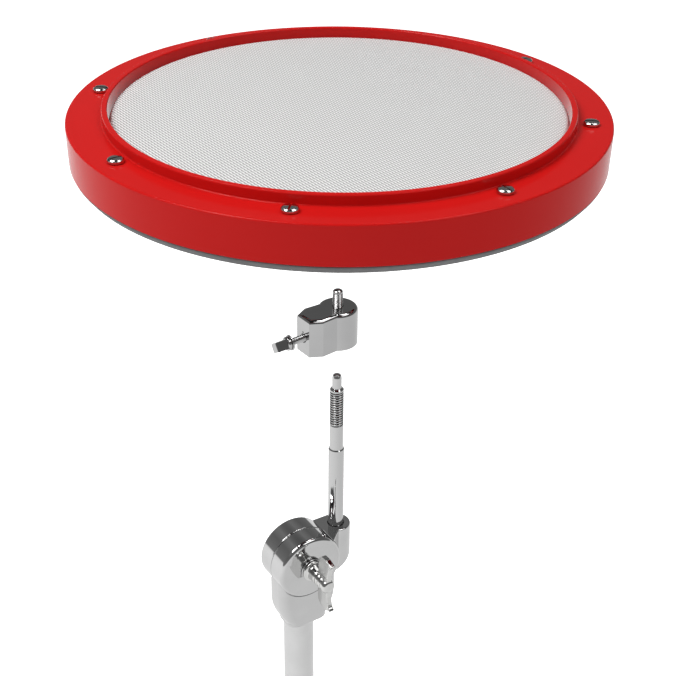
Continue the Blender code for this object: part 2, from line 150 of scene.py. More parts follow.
def thread(low, high, pitch, depth):
    """A right-hand thread between two heights, as a change of radius: flat crests, V grooves."""
    def ridge(angle, radius, height):
        if not low < height < high:
            return radius
        fade = min(1.0, (height - low) / pitch, (high - height) / pitch)
        phase = (height / pitch - angle / math.tau) % 1.0
        groove = min(1.0, max(0.0, 1.5 * abs(2.0 * phase - 1.0) - 0.4))
        return radius - depth * fade * groove
    return ridge


# ---- meshes ------------------------------------------------------------------------
def bridge(bm, first, second):
    """Faces between two rings; a ring of one vertex is a point on the axis."""
    count = max(len(first), len(second))
    if count == 1:
        return
    for k in range(count):
        following = (k + 1) % count
        corners = [first[k % len(first)], first[following % len(first)],
                   second[following % len(second)], second[k % len(second)]]
        unique = list(dict.fromkeys(corners))
        bm.faces.new(unique)


def turned(outline, steps, ridge=None, corner_steps=4):
    """Turn a closed outline of (radius, height[, fillet]) about Z."""
    bm = bmesh.new()
    rings = []
    for radius, height in rounded(outline, corner_steps):
        if radius < 1e-6:
            rings.append([bm.verts.new((0.0, 0.0, height * MM))])
            continue
        ring = []
        for k in range(steps):
            angle = math.tau * k / steps
            reach = ridge(angle, radius, height) if ridge else radius
            ring.append(bm.verts.new((reach * math.cos(angle) * MM, reach * math.sin(angle) * MM,
                                      height * MM)))
        rings.append(ring)
    for index, ring in enumerate(rings):
        bridge(bm, ring, rings[(index + 1) % len(rings)])
    return bm


def prism(outline, low, high, top_bevel=0.0, low_bevel=0.0, segments=4):
    """Extrude a closed outline of (x, y[, fillet]); its top and bottom edges may be rounded."""
    bm = bmesh.new()
    ring = [bm.verts.new((x * MM, y * MM, low * MM)) for x, y in rounded(outline)]
    raised = bmesh.ops.extrude_face_region(bm, geom=[bm.faces.new(ring)])
    top = [part for part in raised["geom"] if isinstance(part, bmesh.types.BMVert)]
    bmesh.ops.translate(bm, verts=top, vec=(0.0, 0.0, (high - low) * MM))
    for level, width in ((high, top_bevel), (low, low_bevel)):
        edges = [edge for edge in bm.edges
                 if all(abs(vert.co.z - level * MM) < 1e-7 for vert in edge.verts)]
        if width:
            bmesh.ops.bevel(bm, geom=edges, offset=width * MM, segments=segments,
                            profile=0.5, affect="EDGES")
    return bm


def loft(sections):
    """Bridge closed outlines of (x, y), one at each height."""
    bm = bmesh.new()
    rings = [[bm.verts.new((x * MM, y * MM, height * MM)) for x, y in outline]
             for height, outline in sections]
    bm.faces.new(rings[0])
    bm.faces.new(rings[-1])
    for lower, upper in zip(rings, rings[1:]):
        bridge(bm, lower, upper)
    return bm


def moved(bm, matrix):
    bmesh.ops.transform(bm, matrix=matrix, verts=bm.verts)
    return bm


def joined(*parts):
    """Several separate solids in one mesh, for use as one cutter."""
    whole = bmesh.new()
    for part in parts:
        spare = mesh_of(part, "spare")
        whole.from_mesh(spare)
        bpy.data.meshes.remove(spare)
    return whole


def mesh_of(bm, name):
    bmesh.ops.recalc_face_normals(bm, faces=bm.faces)
    mesh = bpy.data.meshes.new(name)
    bm.to_mesh(mesh)
    bm.free()
    return mesh


def settle(item):
    """Apply an object's modifiers to its mesh."""
    graph = bpy.context.evaluated_depsgraph_get()
    mesh = bpy.data.meshes.new_from_object(item.evaluated_get(graph))
    item.modifiers.clear()
    item.data = mesh


def rod_shape(radius, low, high, steps=SMALL):
    return turned([(0.0, high), (radius, high), (radius, low), (0.0, low)], steps)


def cylinder_y(radius, front, back, steps=96):
    return moved(rod_shape(radius, -back, -front, steps), TO_FRONT)


def combined(name, base, *changes):
    """A solid after a list of (operation, solid) changes, all in one frame."""
    item = bpy.data.objects.new(name, mesh_of(base, name))
    bpy.context.scene.collection.objects.link(item)
    for operation, bm in changes:
        guide = bpy.data.objects.new("guide", mesh_of(bm, "guide"))
        bpy.context.scene.collection.objects.link(guide)
        change = item.modifiers.new(operation, "BOOLEAN")
        change.operation = operation
        change.solver = "EXACT"
        change.object = guide
        settle(item)
        bpy.data.objects.remove(guide, do_unlink=True)
    return item


def finish_piece(item, look, body, nodes, place, sharp=32.0):
    """Shade, place and colour a piece that stands for CAD nodes of a body."""
    item.data.shade_smooth()
    item.data.set_sharp_from_angle(angle=math.radians(sharp))
    weights = item.modifiers.new("even_flats", "WEIGHTED_NORMAL")
    weights.keep_sharp = True
    weights.weight = 90
    item.data.materials.clear()
    item.data.materials.append(look["material"])
    item.matrix_world = place
    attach(item, body)
    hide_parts(*nodes)
    return item


def piece(name, bm, look, body, nodes, place, sharp=32.0):
    item = bpy.data.objects.new(name, mesh_of(bm, name))
    bpy.context.scene.collection.objects.link(item)
    return finish_piece(item, look, body, nodes, place, sharp)


# ---- materials -----------------------------------------------------------------------
class Look:
    """A Principled material whose inputs are fed by small node chains."""

    def __init__(self, name, colour, roughness, metallic=0.0, **inputs):
        self.material = bpy.data.materials.new(name)
        self.material.use_nodes = True
        self.tree = self.material.node_tree
        self.shader = self.tree.nodes["Principled BSDF"]
        self.set("Base Color", (*colour, 1.0))
        self.set("Roughness", roughness)
        self.set("Metallic", metallic)
        for socket, value in inputs.items():
            self.set(socket.replace("_", " "), value)
        self.place = self.node("ShaderNodeTexCoord").outputs["Object"]

    def set(self, socket, value):
        self.shader.inputs[socket].default_value = value

    def node(self, kind, **values):
        made = self.tree.nodes.new(kind)
        for key, value in values.items():
            if hasattr(made, key):
                setattr(made, key, value)
            else:
                made.inputs[key.replace("_", " ")].default_value = value
        return made

    def link(self, output, target):
        self.tree.links.new(output, target)

    def noise(self, scale, detail=3.0, stretch=(1.0, 1.0, 1.0)):
        """Noise over the piece, scale in cells per metre."""
        mapping = self.node("ShaderNodeMapping")
        mapping.inputs["Scale"].default_value = stretch
        texture = self.node("ShaderNodeTexNoise", Scale=scale, Detail=detail)
        self.link(self.place, mapping.inputs["Vector"])
        self.link(mapping.outputs["Vector"], texture.inputs["Vector"])
        return texture.outputs["Fac"]

    def span(self, value, low, high, start=0.3, end=0.7):
        """Map a noise value onto a range."""
        ranged = self.node("ShaderNodeMapRange")
        for key, number in (("From Min", start), ("From Max", end), ("To Min", low),
                            ("To Max", high)):
            ranged.inputs[key].default_value = number
        self.link(value, ranged.inputs["Value"])
        return ranged.outputs["Result"]

    def blend(self, amount, first, second):
        """Mix two colours by a value."""
        mix = self.node("ShaderNodeMix", data_type="RGBA")
        mix.inputs[6].default_value = (*first, 1.0)
        mix.inputs[7].default_value = (*second, 1.0)
        self.link(amount, mix.inputs[0])
        return mix.outputs[2]

    def bump(self, height, distance, strength=1.0):
        """Bump with a height in metres."""
        bump = self.node("ShaderNodeBump", Strength=strength, Distance=distance)
        self.link(height, bump.inputs["Height"])
        self.link(bump.outputs["Normal"], self.shader.inputs["Normal"])

    def feed(self, output, socket):
        self.link(output, self.shader.inputs[socket])


def metal(name, colour, smooth, rough, grain=0.0, stretch=(1.0, 1.0, 1.0)):
    """Plated or bare metal: cloudy tone, uneven polish and a trace of the grain below."""
    look = Look(name, colour, smooth, 1.0)
    cloud = look.noise(55.0, 4.0)
    dull = [channel * 0.93 for channel in colour]
    look.feed(look.blend(look.span(cloud, 0.0, 1.0), colour, dull), "Base Color")
    look.feed(look.span(look.noise(340.0, 5.0, stretch), smooth, rough), "Roughness")
    if grain:
        look.bump(look.noise(900.0, 2.0, stretch), grain)
    return look.material


def chrome_with_painted_thread_shade(name, colour, smooth, rough, heights, root, crest):
    """Chrome plate with painted shade in the thread's root: its colour goes near black there, between
    two heights in mm.
    """
    look = Look(name, colour, smooth, 1.0)
    parts = look.node("ShaderNodeSeparateXYZ")
    look.link(look.place, parts.inputs[0])
    flat = look.node("ShaderNodeCombineXYZ")
    look.link(parts.outputs["X"], flat.inputs["X"])
    look.link(parts.outputs["Y"], flat.inputs["Y"])
    radius = look.node("ShaderNodeVectorMath", operation="LENGTH")
    look.link(flat.outputs[0], radius.inputs[0])
    low, high, edge = heights[0] * MM, heights[1] * MM, 0.1 * MM
    above = look.span(parts.outputs["Z"], 0.0, 1.0, low - edge, low)
    below = look.span(parts.outputs["Z"], 1.0, 0.0, high, high + edge)
    amount = look.span(radius.outputs["Value"], 1.0, 0.0, root * MM, crest * MM)
    for limit in (above, below):
        product = look.node("ShaderNodeMath", operation="MULTIPLY")
        look.link(amount, product.inputs[0])
        look.link(limit, product.inputs[1])
        amount = product.outputs[0]
    # painted shade: the thread's grooves are blended towards black
    look.feed(look.blend(amount, colour, (0.015, 0.015, 0.015)), "Base Color")
    look.feed(look.span(look.noise(340.0, 5.0), smooth, rough), "Roughness")
    return look.material


def ribbed_metal(name, colour, smooth, rough):
    """Cast and plated metal with shallow grip ribs across the wings."""
    look = Look(name, colour, smooth, 1.0)
    look.feed(look.span(look.noise(300.0, 4.0), smooth, rough), "Roughness")
    parts = look.node("ShaderNodeSeparateXYZ")
    look.link(look.place, parts.inputs[0])
    ribs = look.node("ShaderNodeMath", operation="PINGPONG")
    ribs.inputs[1].default_value = 0.8 * MM
    look.link(parts.outputs["Z"], ribs.inputs[0])
    away = look.node("ShaderNodeMath", operation="ABSOLUTE")
    look.link(parts.outputs["Z"], away.inputs[0])
    on_wings = look.span(away.outputs[0], 0.0, 1.0, 0.005, 0.007)
    height = look.node("ShaderNodeMath", operation="MULTIPLY")
    look.link(ribs.outputs[0], height.inputs[0])
    look.link(on_wings, height.inputs[1])
    look.bump(height.outputs[0], 0.25, 0.5)
    return look.material


def red_moulding():
    look = Look("red_gloss_moulding", (0.60, 0.010, 0.009), 0.16, IOR=1.22,
                Specular_IOR_Level=0.42)
    tone = look.span(look.noise(14.0, 3.0), 0.0, 1.0)
    look.feed(look.blend(tone, (0.605, 0.0102, 0.0092), (0.580, 0.0094, 0.0086)), "Base Color")
    look.feed(look.span(look.noise(120.0, 4.0), 0.13, 0.21), "Roughness")
    look.bump(look.noise(420.0, 2.0), 0.000012)
    return look.material


def woven_film():
    """Coated film with a fine woven face: short leaning dashes in close rows."""
    look = Look("woven_head_film", (0.64, 0.64, 0.635), 0.55, IOR=1.35)
    row_pitch, dash_pitch, row_heading = 1.7164 * MM, 3.438 * MM, 35.8

    def wave(pitch, degrees, phase):
        across = look.node("ShaderNodeVectorMath", operation="DOT_PRODUCT")
        angle = math.radians(degrees)
        across.inputs[1].default_value = (math.cos(angle) * math.tau / pitch,
                                          math.sin(angle) * math.tau / pitch, 0.0)
        look.link(look.place, across.inputs[0])
        shifted = look.node("ShaderNodeMath", operation="ADD")
        shifted.inputs[1].default_value = phase
        look.link(across.outputs["Value"], shifted.inputs[0])
        swing = look.node("ShaderNodeMath", operation="SINE")
        look.link(shifted.outputs[0], swing.inputs[0])
        return swing.outputs[0]

    def scaled_sum(first, second, factor):
        joint = look.node("ShaderNodeMath", operation="MULTIPLY_ADD")
        joint.inputs[1].default_value = factor
        look.link(second, joint.inputs[0])
        look.link(first, joint.inputs[2])
        return joint.outputs[0]

    rows = wave(row_pitch, row_heading, 0.0)
    leaning = wave(1.5329 * MM, 9.3, 0.6)
    crossing = wave(1.2124 * MM, 171.0, 1.2)
    dashes = wave(dash_pitch, row_heading + 90.0, 0.0)
    weave = scaled_sum(rows, leaning, 0.28)
    weave = scaled_sum(weave, crossing, 0.16)
    weave = scaled_sum(weave, dashes, 0.17)
    tone = look.span(weave, 0.0, 1.0, -1.1, 1.1)
    look.feed(look.blend(tone, (0.33, 0.33, 0.328), (0.91, 0.91, 0.905)), "Base Color")
    look.feed(look.span(look.noise(60.0, 3.0), 0.48, 0.62), "Roughness")
    look.bump(weave, 0.00004, 0.8)
    return look.material


def moulded(name, colour, smooth, rough, grain, spread=0.12, **inputs):
    """Plain moulded plastic or rubber with a fine grain."""
    look = Look(name, colour, smooth, **inputs)
    pale = [channel * (1.0 + spread) for channel in colour]
    dark = [channel * (1.0 - spread) for channel in colour]
    look.feed(look.blend(look.span(look.noise(90.0, 5.0), 0.0, 1.0), dark, pale), "Base Color")
    look.feed(look.span(look.noise(500.0, 3.0), smooth, rough), "Roughness")
    look.bump(look.noise(2200.0, 2.0), grain)
    return look.material


def open_foam():
    look = Look("open_cell_foam", (0.09, 0.09, 0.095), 0.95)
    cells = look.node("ShaderNodeTexVoronoi", Scale=900.0)
    look.link(look.place, cells.inputs["Vector"])
    depth = look.span(cells.outputs["Distance"], 0.0, 1.0, 0.1, 0.6)
    # painted shade: the hollows of the cells are darker than their walls
    look.feed(look.blend(depth, (0.03, 0.03, 0.032), (0.13, 0.13, 0.135)), "Base Color")
    look.bump(depth, 0.0003)
    return look.material


def make_looks():
    def look(slot, made):
        return {"slot": slot, "material": made}
    return {
        "red": look("red_plastic", red_moulding()),
        "film": look("head_film", woven_film()),
        "foam": look("foam", open_foam()),
        "tray": look("tray_plastic", moulded("grey_tray_moulding", (0.05, 0.05, 0.052),
                                             0.42, 0.6, 0.00003)),
        "rubber": look("base_rubber", moulded("grey_base_rubber", (0.15, 0.15, 0.152),
                                              0.55, 0.75, 0.00005)),
        "hoop": look("hoop_metal", metal("drawn_hoop_aluminium", (0.70, 0.70, 0.71), 0.25, 0.4,
                                         0.00001, (1.0, 1.0, 6.0))),
        "brass": look("bush_brass", metal("turned_brass", (0.70, 0.50, 0.20), 0.18, 0.34,
                                          0.00001, (1.0, 1.0, 8.0))),
        "adapter": look("chrome_plate", metal("adapter_chrome", (0.52, 0.52, 0.52), 0.02, 0.05)),
        "casting": look("chrome_plate", metal("tilter_chrome", (0.62, 0.62, 0.62), 0.04, 0.09)),
        "tube": look("chrome_plate", metal("tube_chrome", (0.68, 0.68, 0.68), 0.12, 0.18,
                                           0.000004, (1.0, 1.0, 0.05))),
        "rod": look("chrome_plate", chrome_with_painted_thread_shade("rod_chrome", (0.58, 0.58, 0.58), 0.04, 0.08,
                                                    ROD_THREAD, 3.75, 4.35)),
        "wing": look("chrome_plate", ribbed_metal("wing_chrome", (0.66, 0.66, 0.65), 0.07, 0.14)),
        "screw": look("chrome_plate", metal("screw_chrome", (0.62, 0.62, 0.61), 0.06, 0.14)),
        "steel": look("zinc_steel", metal("zinc_plated_steel", (0.55, 0.56, 0.58), 0.22, 0.38,
                                          0.00002)),
        "fibre": look("fibre", moulded("washer_fibre", (0.035, 0.03, 0.028), 0.75, 0.9,
                                       0.00006)),
    }


# ---- pad ---------------------------------------------------------------------------------
def around(radius, degrees):
    """Placement on a circle about the pad's axis, local +X pointing outwards."""
    return PAD_FRAME @ turn("Z", degrees) @ offset(radius)


def screw_heading(index):
    """Degrees round the pad's axis at which a rim screw stands."""
    middle = PAD_FRAME.inverted() @ axis_of(f"tension_screw_{index}")
    return math.degrees(math.atan2(middle.y, middle.x))


def ring_of(bm_maker, radius, headings):
    return joined(*[moved(bm_maker(), turn("Z", degrees) @ offset(radius))
                    for degrees in headings])


def build_rim(looks, headings):
    outline = [(127.0, 5.4, 0.5), (127.4, 6.0, 0.3), (129.9, 6.0, 0.35), (130.3, 5.4, 0.4),
               (130.3, 0.0, 0.8), (150.0, 0.0, 1.0), (149.6, -22.1, 0.4), (146.9, -22.1, 0.3),
               (147.0, -3.2, 0.6), (131.5, -3.2, 0.6), (130.5, -4.3, 0.3), (127.0, -4.3, 0.4)]
    holes = ring_of(lambda: rod_shape(2.75, -8.0, 4.0, 32), RIM_SCREW_CIRCLE, headings)
    rim = combined("rim_moulding", turned(outline, 2 * FINE), ("DIFFERENCE", holes))
    finish_piece(rim, looks["red"], "pad", ["tension_rim"], PAD_FRAME)


def build_head(looks):
    outline = [(0.0, 0.4), (60.0, 0.4), (125.0, 0.4, 2.0), (126.6, -2.2, 1.0), (126.6, -8.2),
               (126.1, -8.2), (126.1, -2.4, 0.8), (124.8, -0.1, 1.8), (0.0, -0.1)]
    piece("head_film", turned(outline, 2 * FINE), looks["film"], "pad", ["drumhead"], PAD_FRAME)
    hoop = [(125.0, -5.6, 0.2), (125.0, -10.2, 0.5), (130.2, -10.2, 0.5), (130.2, -4.7, 0.4),
            (126.9, -4.7, 0.3), (126.9, -8.6), (125.8, -8.6), (125.8, -5.6, 0.2)]
    piece("head_hoop", turned(hoop, FINE), looks["hoop"], "pad", ["flesh_hoop"], PAD_FRAME)


def build_foam(looks):
    """A foam disc that pulls in a little at its side and swells under the film."""
    side = [(121.0 - 0.9 * math.sin(math.pi * k / 8), -1.6 - 15.8 * k / 8) for k in range(9)]
    outline = ([(0.0, -0.5), (60.0, -0.55), (118.0, -0.7), (120.3, -0.9)] + side
               + [(119.5, -18.7), (16.4, -18.7, 0.6), (15.6, -13.6, 0.8), (7.6, -13.4, 0.8),
                  (7.4, -3.3, 0.8), (0.0, -3.2)])
    foam = piece("damper_foam", turned(outline, FINE), looks["foam"], "pad", ["foam_core"],
                 PAD_FRAME)


def build_tray(looks, headings):
    low, high = -22.1, -19.1
    outline = [(6.0, high, 0.3), (121.5, high, 0.8), (121.5, -0.6, 0.4), (122.6, -0.6, 0.4),
               (124.1, -2.4, 0.6), (124.4, -3.0), (124.4, high, 0.8), (146.6, high, 0.4),
               (146.6, low, 0.3), (6.0, low, 0.3)]
    bosses = ring_of(lambda: turned([(0.0, -8.0), (6.6, -8.0, 0.5), (6.6, -21.1), (0.0, -21.1)],
                                    SMALL), RIM_SCREW_CIRCLE, headings)
    pockets = ring_of(lambda: prism(arc(0, 0, 4.95, 0, 300, 5), -24.0, -18.2),
                      RIM_SCREW_CIRCLE, headings)
    holes = ring_of(lambda: rod_shape(2.75, -20.0, 0.0, 24), RIM_SCREW_CIRCLE, headings)
    small = ring_of(lambda: rod_shape(1.5, -30.0, -15.0, 24), BUSH_SCREW_CIRCLE, BUSH_SCREW_HEADINGS)
    tray = combined("tray_moulding", turned(outline, FINE), ("UNION", bosses),
                    ("DIFFERENCE", pockets), ("DIFFERENCE", holes), ("DIFFERENCE", small))
    finish_piece(tray, looks["tray"], "pad", ["base_tray"], PAD_FRAME)


def build_base(looks):
    """Rubber ring with five shallow tread grooves in its sole."""
    sole = []
    for k in range(5):
        middle = 141.6 - 4.4 * k
        sole += [(middle + 1.0, -26.8, 0.3), (middle + 0.7, -26.0, 0.3),
                 (middle - 0.7, -26.0, 0.3), (middle - 1.0, -26.8, 0.3)]
    outline = ([(118.0, -22.4, 0.3), (149.2, -22.4, 0.3), (148.9, -23.5, 0.5),
                (146.3, -26.8, 0.8)] + sole + [(120.0, -26.8, 0.6), (118.0, -25.2, 0.6)])
    piece("base_ring", turned(outline, FINE), looks["rubber"], "pad", ["rubber_base"], PAD_FRAME)


def build_bush(looks):
    bore = run(3.55, -21.9, -7.3, 1.0)
    outline = ([(3.7, -22.1)] + bore
               + [(3.8, -7.1), (6.5, -7.1, 0.5), (6.5, -16.3, 0.5), (14.0, -16.3, 0.4),
                  (14.0, -18.8, 0.4), (5.7, -18.8, 0.2), (5.7, -22.1, 0.3)])
    cutter = ring_of(lambda: rod_shape(1.5, -25.0, -10.0, 24), BUSH_SCREW_CIRCLE, BUSH_SCREW_HEADINGS)
    bush = combined("brass_bush", turned(outline, SMALL, thread(-21.9, -7.3, 1.0, 0.33)),
                    ("DIFFERENCE", cutter))
    finish_piece(bush, looks["brass"], "pad", ["thread_bush"], PAD_FRAME)
    for index, degrees in enumerate(BUSH_SCREW_HEADINGS, start=1):
        shank = run(1.2, -16.4, -21.4, 0.6)
        screw = ([(0.0, -14.4), (1.4, -14.4, 0.2), (2.3, -15.1, 0.2), (2.3, -16.0, 0.15),
                  (1.2, -16.0)] + shank + [(0.9, -21.8), (0.0, -21.8)])
        body = turned(screw, 32, thread(-21.4, -16.4, 0.6, 0.2))
        slot = prism([(-4, -0.3), (4, -0.3), (4, 0.3), (-4, 0.3)], -14.9, -13.0)
        item = combined(f"tray_screw_{index}", body, ("DIFFERENCE", slot))
        finish_piece(item, looks["steel"], "pad", [f"bush_screw_{index}"],
                     around(BUSH_SCREW_CIRCLE, degrees))


def build_rim_screws(looks, headings):
    pitch = 0.8
    shank = run(2.4, -1.0, -20.9, pitch)
    head = ([(0.0, 2.7), (1.8, 2.66), (3.7, 2.45, 0.8), (4.4, 1.7, 0.6), (4.45, 0.3, 0.25),
             (2.4, 0.3)] + shank + [(1.6, -21.7), (0.0, -21.7)])
    slot = prism([(-6.0, -0.55), (6.0, -0.55), (6.0, 0.55), (-6.0, 0.55)], 1.5, 4.0)
    screw = combined("rim_screw_1", turned(head, SMALL, thread(-20.9, -1.0, pitch, 0.35)),
                     ("DIFFERENCE", slot))
    nut_bore = turned([(0.0, -15.0), (3.2, -15.0), (2.7, -18.9)] + run(2.7, -18.9, -21.4, pitch)
                      + [(3.2, -25.0), (0.0, -25.0)], SMALL, thread(-21.4, -18.9, pitch, 0.25))
    crown = turned([(0.0, -18.5), (4.2, -18.5), (4.8, -19.0), (4.8, -21.3), (4.2, -21.8),
                    (0.0, -21.8)], SMALL)
    nut = combined("rim_nut_1", prism(arc(0, 0, 4.6, 0, 300, 5), -21.8, -18.5),
                   ("INTERSECT", crown), ("DIFFERENCE", nut_bore))
    for index, degrees in enumerate(headings, start=1):
        place = around(RIM_SCREW_CIRCLE, degrees)
        for name, first, look, body, node in (
                ("rim_screw", screw, "screw", f"tension_screw_{index}", f"tension_screw_{index}"),
                ("rim_nut", nut, "steel", "pad", f"screw_nut_{index}")):
            item = first
            if index > 1:
                item = bpy.data.objects.new(f"{name}_{index}", first.data.copy())
                bpy.context.scene.collection.objects.link(item)
            finish_piece(item, looks[look], body, [node], place)


# ---- adapter -----------------------------------------------------------------------------
KEY_HEIGHT = 285.8
KEY_SQUARE = 6.0              # across the flats
KEY_SQUARE_TURN = 32.0        # degrees about the bolt's axis
BORE_RADIUS = 4.75
BORE_TOP = 296.2


def build_adapter(looks):
    low, high, lobe = 275.0, 299.7, 12.4
    notch = math.degrees(math.atan2(9.8, -7.6))
    outline = (arc(0.0, 0.0, lobe, -notch, notch, 96)
               + [(-18.2, 10.4), (-25.65, 6.3), (-25.65, -6.3), (-18.2, -10.4)])
    towards_tail = offset(z=KEY_HEIGHT) @ turn("Y", -90.0)
    bore = turned([(0.0, BORE_TOP), (BORE_RADIUS, BORE_TOP, 0.8), (BORE_RADIUS, low + 0.8),
                   (BORE_RADIUS + 3.0, low - 2.2), (0.0, low - 2.2)], 64)
    key_hole = moved(turned([(0.0, 40.0), (3.4, 40.0), (3.4, 26.0), (2.6, 25.2), (2.6, 2.0),
                             (0.0, 2.0)], SMALL), towards_tail)
    witness = moved(rod_shape(0.6, 22.65, 30.0, 24), offset(z=4.0) @ towards_tail)
    stud_hole = rod_shape(3.45, 290.0, 310.0)
    block = combined("adapter_body", prism(outline, low, high, 2.5, 0.3, 7),
                     ("DIFFERENCE", bore), ("DIFFERENCE", key_hole), ("DIFFERENCE", witness),
                     ("DIFFERENCE", stud_hole))
    finish_piece(block, looks["adapter"], "adapter", ["adapter_block"], ADAPTER_FRAME, 25.0)
    pitch, radius, top, dome = 0.85, 3.15, 311.0, 1.7
    stud = (dome_outline(radius, top, dome) + run(radius, top - dome, 296.8, pitch)
            + [(radius, 296.3), (0.0, 296.3)])
    piece("adapter_thread_stud", turned(stud, SMALL, thread(296.8, top - dome, pitch, 0.34)),
          looks["adapter"], "adapter", ["adapter_stud"], ADAPTER_FRAME, 60.0)


def build_key_bolt(looks):
    along = ADAPTER_FRAME @ offset(z=KEY_HEIGHT) @ turn("Y", -90.0)
    ring = [(2.6, 34.6, 0.15), (4.9, 34.6, 0.4), (4.9, 35.8, 0.4), (2.6, 35.8, 0.15)]
    piece("key_bolt_washer", turned(ring, SMALL), looks["adapter"], "key_washer",
          ["key_washer"], along)
    pitch, radius, seat = 0.8, 2.3, 36.1
    shaft = ([(0.0, seat + 2.4), (3.6, seat + 2.4, 0.6), (4.3, seat + 1.6, 0.5),
              (4.3, seat, 0.3), (radius, seat)] + run(radius, seat - 0.6, 14.2, pitch)
             + [(1.6, 13.5, 0.3), (0.0, 13.5)])
    half = KEY_SQUARE / 2
    square = prism([(-half, -half), (half, -half), (half, half), (-half, half)],
                   seat + 1.5, 46.3, 0.8)
    bolt = combined("key_bolt_body", turned(shaft, SMALL, thread(14.2, seat - 0.6, pitch, 0.34)),
                    ("UNION", moved(square, turn("Z", KEY_SQUARE_TURN))))
    finish_piece(bolt, looks["adapter"], "key_bolt", ["key_bolt"], along)


# ---- stand top -----------------------------------------------------------------------------
DISC_RADIUS = 22.65
DISC_FRONT = -17.35
DISC_BACK = 10.2
SEAM = -3.3
DISC_FILLET = 1.4
FACE_FILLET = 2.6
SEAM_FILLET = 0.7
GROOVE = 0.45
SEAM_GAP = 0.15               # on each side of the seam
SOCKET_FOOT = -49.0
SOCKET_TOP = -7.0
ARM_TOP = 15.0


def socket_section(half_width, back, front, corner=6.0):
    """Outline of the tube socket: a flat front with round corners and a bowed back."""
    left = arc(-half_width + corner, front + corner, corner, 180, 270, 8)
    right = arc(half_width - corner, front + corner, corner, 270, 360, 8)
    rear = [(half_width * math.cos(math.radians(degrees)),
             SEAM + (back - SEAM) * math.sin(math.radians(degrees)))
            for degrees in range(0, 181, 6)]
    return left + right + rear


def build_tube(looks):
    outline = [(9.05, 89.1, 0.3), (10.25, 89.1, 0.4), (10.25, 0.0, 0.4), (9.05, 0.0, 0.3)]
    piece("tube", turned(outline, 96), looks["tube"], "stand_top", ["stand_tube"],
          Matrix.Translation((HINGE.x, HINGE.y, 0.0)))


def build_tilter_base(looks):
    foot = SOCKET_FOOT
    sections = [(foot, 0.0, 0.6), (foot + 0.4, 0.02, 0.2), (foot + 1.0, 0.05, 0.0)]
    for step in range(1, 25):
        part = step / 24
        sections.append((foot + 1.0 + (SOCKET_TOP - foot - 1.0) * part, part, 0.0))
    foot_half, disc_half, foot_back = 13.2, 20.8, 13.0
    outlines = []
    for height, part, inset in sections:
        widening = math.sin(math.pi / 2 * min(1.0, part / 0.5)) ** 0.9
        half_width = foot_half + (disc_half - foot_half) * widening + 0.5 * part - inset
        back = foot_back + (DISC_BACK - foot_back) * part - inset
        front = DISC_FRONT + 1.5 + 0.7 * (1.0 - widening) + inset
        outlines.append((height, socket_section(half_width, back, front)))
    body = loft(outlines)
    ring_groove = cylinder_y(DISC_RADIUS + GROOVE, DISC_FRONT - 3.0, DISC_FRONT + 2.4, FINE)
    disc = moved(turned([(0.0, -DISC_FRONT), (DISC_RADIUS, -DISC_FRONT, FACE_FILLET),
                         (DISC_RADIUS, -SEAM + SEAM_GAP, SEAM_FILLET), (0.0, -SEAM + SEAM_GAP)],
                        FINE, None, 8), TO_FRONT)
    recess = cylinder_y(DISC_RADIUS + GROOVE, SEAM - SEAM_GAP, 30.0, FINE)
    socket = rod_shape(10.55, -70.0, -31.0, 96)
    hinge_hole = cylinder_y(3.4, -40.0, 0.0, SMALL)
    seat = cylinder_y(14.4, SEAM - 0.9, SEAM + 1.0)
    base = combined("tilter_socket", body, ("DIFFERENCE", ring_groove), ("DIFFERENCE", recess),
                    ("UNION", disc),
                    ("DIFFERENCE", socket), ("DIFFERENCE", hinge_hole), ("DIFFERENCE", seat))
    finish_piece(base, looks["casting"], "stand_top", ["tilter_base"], HINGE_FRAME, 25.0)


def build_tilter_arm(looks):
    top, reach = ARM_TOP, 9.7
    plan = ([(2.0, -17.2), (16.4, -17.2, 1.0)] + arc(ROD_OFFSET, 0.0, reach, -110, 100, 64)
            + [(10.0, 9.7), (2.0, 9.7)])
    side = [(2.0, -5.0), (22.2, -5.0), (22.2, -14.4), (25.2, -17.9, 1.5), (40.0, -6.4),
            (40.0, 30.0), (2.0, 30.0)]
    profile = moved(prism(side, -20.0, 20.0), TO_FRONT)
    disc = moved(turned([(0.0, -SEAM - SEAM_GAP), (DISC_RADIUS, -SEAM - SEAM_GAP, SEAM_FILLET),
                         (DISC_RADIUS, -DISC_BACK, DISC_FILLET), (0.0, -DISC_BACK)],
                        FINE, None, 8), TO_FRONT)
    recess = cylinder_y(DISC_RADIUS + GROOVE, -30.0, SEAM + SEAM_GAP, FINE)
    bore = 5.43
    rod_bore = moved(turned([(0.0, top + 3.0), (bore + 3.3, top + 3.0), (bore, top - 0.3),
                             (bore, -8.0), (0.0, -8.0)], 64), offset(ROD_OFFSET))
    nut_pocket = moved(prism(arc(0, 0, 6.1, 0, 300, 5), -30.0, -4.3), TO_FRONT)
    grub_hole = moved(rod_shape(2.3, ROD_OFFSET, 60.0), turn("Y", 90.0))
    seat = cylinder_y(14.4, SEAM - 1.0, SEAM + 0.9)
    arm = combined("tilter_arm_casting", prism(plan, -24.0, top, 0.9),
                   ("INTERSECT", profile), ("DIFFERENCE", recess), ("UNION", disc),
                   ("DIFFERENCE", rod_bore), ("DIFFERENCE", nut_pocket),
                   ("DIFFERENCE", cylinder_y(3.4, -30.0, 20.0, SMALL)),
                   ("DIFFERENCE", grub_hole), ("DIFFERENCE", seat))
    finish_piece(arm, looks["casting"], "tilt_arm", ["tilter_arm"], HINGE_FRAME, 25.0)


